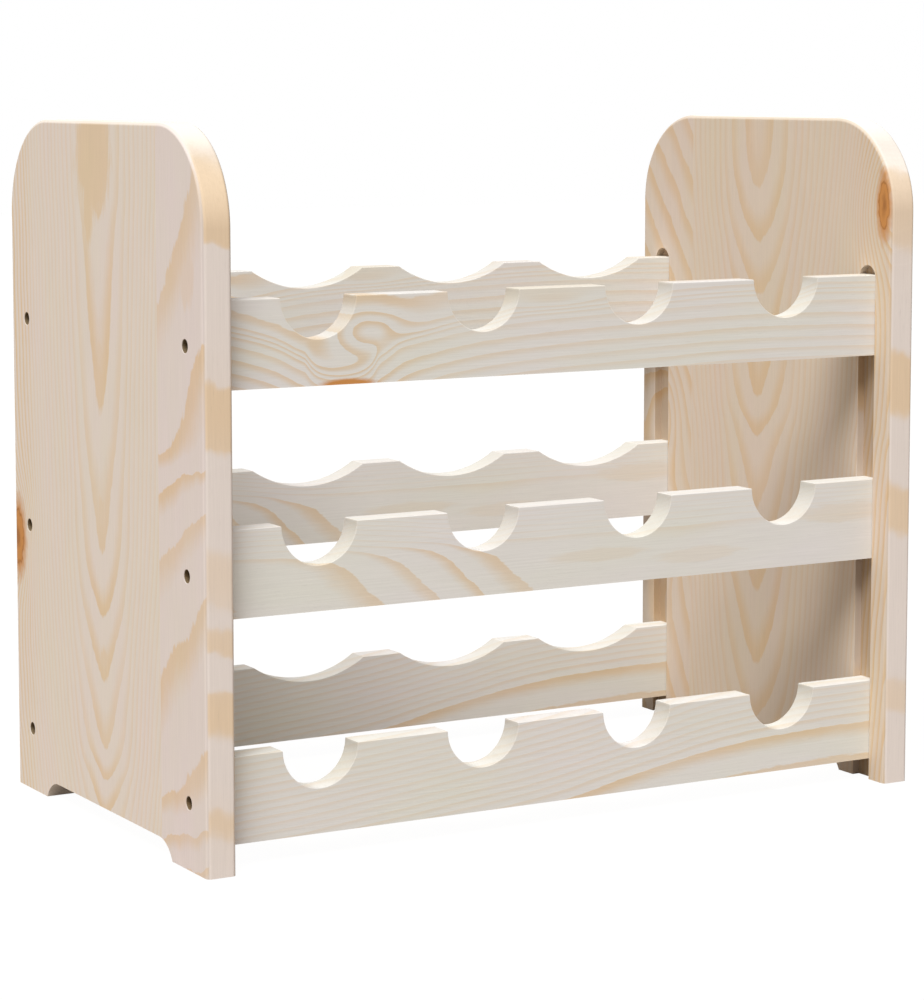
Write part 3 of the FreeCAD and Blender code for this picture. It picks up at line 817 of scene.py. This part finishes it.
class RACK_OT_panels(bpy.types.Operator):
    """Build both side panels, each glued up from a wide and a narrow board"""

    bl_idname = "rack.panels"
    bl_label = "Side Panels"

    def execute(self, context):
        sizes, colours = context.scene.rack_sizes, context.scene.rack_colours
        for side_name, side in SIDES.items():
            tools = [relief_tool(sizes)]
            for row in ROWS:
                tools.append(groove_tool(side, rail_middle_y(row), sizes))
                for height in screw_heights():
                    tools.append(screw_hole_tool(side, rail_middle_y(row), height, sizes))
            whole = cut(panel_blank(side, sizes), tools)
            seam = side * (HALF_DEPTH - sizes.narrow_board)
            for board, away in (("narrow", -side), ("wide", side)):
                bm = whole.copy()
                sawn = bmesh.ops.bisect_plane(
                    bm, geom=bm.verts[:] + bm.edges[:] + bm.faces[:], dist=1e-7,
                    plane_co=(0, seam, 0), plane_no=(0, away, 0), clear_outer=True)
                rim = [g for g in sawn["geom_cut"] if isinstance(g, bmesh.types.BMEdge)]
                bmesh.ops.holes_fill(bm, edges=rim, sides=0)
                bmesh.ops.recalc_face_normals(bm, faces=bm.faces)
                node = side_name + "_panel_" + board + "_board"
                wood = pine(
                    node + "_pine", GRAIN[node], 0.0, tuple(colours.panel_early),
                    tuple(colours.panel_late), tuple(colours.knot), tuple(colours.knot_heart),
                    tuple(colours.end_grain))
                finish_piece(node + "_sanded", bm, wood, [node])
            whole.free()
        return {"FINISHED"}


def pilot_tool(side, row, height, sizes):
    """Pilot hole that a screw has opened in the end of a rail."""
    mouth = HALF_WIDTH - sizes.panel_thickness + sizes.groove_depth
    deep = sizes.screw_length - (sizes.panel_thickness - sizes.groove_depth
                                 - sizes.head_sink - sizes.head_height) + 0.001
    radius = sizes.thread_radius + PILOT_CLEARANCE
    bm = spun([(-OVERCUT, 0.0), (-OVERCUT, radius), (deep, radius), (deep, 0.0)], PILOT_STEPS)
    put(bm, bm.verts, side, (side * mouth, rail_middle_y(row), height))
    return bm


class RACK_OT_rails(bpy.types.Operator):
    """Build the six rails, with neck rests in front and body rests behind"""

    bl_idname = "rack.rails"
    bl_label = "Rails"

    def execute(self, context):
        sizes, colours = context.scene.rack_sizes, context.scene.rack_colours
        first = -(HALF_WIDTH - sizes.panel_thickness - sizes.end_to_bottle)
        pitch = -2.0 * first / (BOTTLES - 1)
        for row in ROWS:
            radius, sink, shift = {
                "front": (sizes.neck_radius, sizes.neck_radius, -sizes.neck_shift),
                "rear": (sizes.body_radius, sizes.body_sink, 0.0)}[row]
            for tier, height in zip(TIERS, screw_heights()):
                low, high = rail_box(row, tier)
                axis_z = high.z - sink + radius
                tools = [pilot_tool(side, row, height, sizes) for side in SIDES.values()]
                for place in range(BOTTLES):
                    x = first + pitch * place + shift
                    tools.append(bar(
                        radius, Vector((x, low.y - OVERCUT, axis_z)),
                        Vector((x, high.y + OVERCUT, axis_z)), REST_STEPS))
                bm = cut(block(low, high), tools)
                # The ends stay square in their grooves, and the pilot holes as drilled.
                crisp = [
                    e for e in bm.edges
                    if e.calc_face_angle(0.0) > SANDED_ANGLE
                    and not all(abs(v.co.x) > high.x - 1e-5 for v in e.verts)
                    and not any(
                        math.hypot(v.co.y - (low.y + high.y) / 2, v.co.z - height) < DRILLED_REACH
                        for v in e.verts)]
                round_over(bm, crisp, sizes.rail_ease, EASE_STEPS)
                node = row + "_rail_" + tier
                # The colour for the rest walls is partly end grain and partly painted shade.
                wood = pine(
                    node + "_pine", GRAIN[tier], low.y / MM, tuple(colours.rail_early),
                    tuple(colours.rail_late), tuple(colours.knot), tuple(colours.knot),
                    tuple(colours.rest_grain_and_shade))
                finish_piece(node + "_planed", bm, wood, [node])
        return {"FINISHED"}


def screw_profile(sizes):
    """Half section of a screw from the top of its head to its point."""
    top, radius = -sizes.head_height, sizes.head_radius
    outer, core, pitch = sizes.thread_radius, sizes.core_radius, sizes.thread_pitch
    points = [
        (top, 0.0), (top, 0.72 * radius), (top + 0.0003, 0.9 * radius), (top + 0.0009, radius),
        (-0.0003, radius), (0.0, radius - 0.0003), (0.0, outer)]
    start = sizes.screw_length - BARE_LENGTH - THREAD_TURNS * pitch
    points.append((start, outer))
    for turn in range(THREAD_TURNS):
        crest = start + pitch * turn
        points += [
            (crest + 0.30 * pitch, core), (crest + 0.70 * pitch, core), (crest + pitch, outer)]
    points += [(sizes.screw_length - POINT_LENGTH, core), (sizes.screw_length, 0.0)]
    return points


class RACK_OT_screws(bpy.types.Operator):
    """Build the twelve screws that pull the panels onto the rail ends"""

    bl_idname = "rack.screws"
    bl_label = "Screws"

    def execute(self, context):
        sizes, colours = context.scene.rack_sizes, context.scene.rack_colours
        steel = zinc_plated_steel(tuple(colours.zinc))
        slots = []
        for half_y, half_z in (
                (RECESS_HALF_LENGTH, RECESS_HALF_WIDTH), (RECESS_HALF_WIDTH, RECESS_HALF_LENGTH)):
            slots.append(block(
                Vector((-sizes.head_height - OVERCUT, -half_y, -half_z)),
                Vector((-sizes.head_height + RECESS_DEPTH, half_y, half_z))))
        one = cut(spun(screw_profile(sizes), SCREW_STEPS), slots)
        single = bpy.data.meshes.new("one_screw")
        one.to_mesh(single)
        one.free()
        for side_name, side in SIDES.items():
            seat = side * (HALF_WIDTH - sizes.head_sink - sizes.head_height)
            for row in ROWS:
                group = bmesh.new()
                for height in screw_heights():
                    before = len(group.verts)
                    group.from_mesh(single)
                    group.verts.ensure_lookup_table()
                    put(group, group.verts[before:], side, (seat, rail_middle_y(row), height))
                node = "screws_" + side_name + "_" + row
                finish_piece(node + "_plated", group, steel, [node])
        bpy.data.meshes.remove(single)
        return {"FINISHED"}


class RACK_OT_stage(bpy.types.Operator):
    """Set up the pale floor, the soft studio light and the camera"""

    bl_idname = "rack.stage"
    bl_label = "Studio"

    def execute(self, context):
        scene = context.scene
        scene.view_settings.view_transform = "Standard"

        bm = bmesh.new()
        bmesh.ops.create_grid(bm, x_segments=1, y_segments=1, size=FLOOR_HALF_WIDTH)
        bmesh.ops.translate(bm, verts=bm.verts, vec=(0, 0, -FLOOR_DROP))
        mesh = bpy.data.meshes.new("studio_floor")
        bm.to_mesh(mesh)
        bm.free()
        floor = bpy.data.objects.new("studio_floor", mesh)
        scene.collection.objects.link(floor)
        # Matt painted board, lit from below where it is looked at, so that it stays evenly
        # white and only the closest shadows show on it.
        board = bpy.data.materials.new("matt_painted_board")
        board.use_nodes = True
        tree = board.node_tree
        tree.nodes.clear()
        matt = add_node(tree, "BsdfDiffuse", {"Color": tuple(scene.rack_colours.floor)}).outputs[0]
        glow = add_node(tree, "Emission", {"Color": WHITE, "Strength": FLOOR_GLOW}).outputs[0]
        seen = add_node(tree, "LightPath").outputs["Is Camera Ray"]
        lit = add_node(tree, "Math", {0: seen, 1: FLOOR_GLOW_SHARE}, operation="MULTIPLY").outputs[0]
        surface = add_node(tree, "MixShader", {0: lit, 1: matt, 2: glow}).outputs[0]
        add_node(tree, "OutputMaterial", {"Surface": surface})
        mesh.materials.append(board)

        world = bpy.data.worlds.new("soft_studio")
        scene.world = world
        world.use_nodes = True
        tree = world.node_tree
        tree.nodes.clear()
        seen = add_node(tree, "LightPath").outputs["Is Camera Ray"]
        fill = add_node(
            tree, "Background", {"Color": FILL_COLOUR, "Strength": FILL_STRENGTH}).outputs[0]
        wall = add_node(tree, "Background", {"Color": WHITE, "Strength": 1.0}).outputs[0]
        sky = add_node(tree, "MixShader", {0: seen, 1: fill, 2: wall}).outputs[0]
        add_node(tree, "OutputWorld", {"Surface": sky})

        # One broad key light high on the left of the front.
        data = bpy.data.lights.new("key_light", "SUN")
        data.energy, data.angle, data.color = KEY_ENERGY, KEY_ANGLE, KEY_COLOUR
        key = bpy.data.objects.new("key_light", data)
        key.rotation_euler = KEY_DIRECTION.to_track_quat("-Z", "Y").to_euler()
        scene.collection.objects.link(key)

        lens = bpy.data.cameras.new("camera")
        lens.lens, lens.sensor_width = CAMERA_LENS, 36.0
        lens.shift_y = CAMERA_SHIFT
        camera = bpy.data.objects.new("camera", lens)
        camera.location = CAMERA_PLACE
        camera.rotation_euler = (math.pi / 2.0 - CAMERA_PITCH_DOWN, 0.0, CAMERA_HEADING)
        scene.collection.objects.link(camera)
        scene.camera = camera
        return {"FINISHED"}


class RACK_PT_sidebar(bpy.types.Panel):
    """The rack's sizes, colours and building steps"""

    bl_idname = "RACK_PT_sidebar"
    bl_label = "Wine Rack"
    bl_space_type = "VIEW_3D"
    bl_region_type = "UI"
    bl_category = "Wine Rack"

    def draw(self, context):
        layout = self.layout
        for group in (context.scene.rack_sizes, context.scene.rack_colours):
            box = layout.box()
            for name in group.__annotations__:
                box.prop(group, name)
        for operator in (RACK_OT_panels, RACK_OT_rails, RACK_OT_screws, RACK_OT_stage):
            layout.operator(operator.bl_idname)


CLASSES = (
    RackSizes, RackColours, RACK_OT_panels, RACK_OT_rails, RACK_OT_screws, RACK_OT_stage,
    RACK_PT_sidebar)


def register():
    for cls in CLASSES:
        bpy.utils.register_class(cls)
    bpy.types.Scene.rack_sizes = bpy.props.PointerProperty(type=RackSizes)
    bpy.types.Scene.rack_colours = bpy.props.PointerProperty(type=RackColours)


def unregister():
    del bpy.types.Scene.rack_colours
    del bpy.types.Scene.rack_sizes
    for cls in reversed(CLASSES):
        bpy.utils.unregister_class(cls)


def main():
    register()
    bpy.ops.rack.panels()
    bpy.ops.rack.rails()
    bpy.ops.rack.screws()
    bpy.ops.rack.stage()


if __name__ == "__main__":
    main()
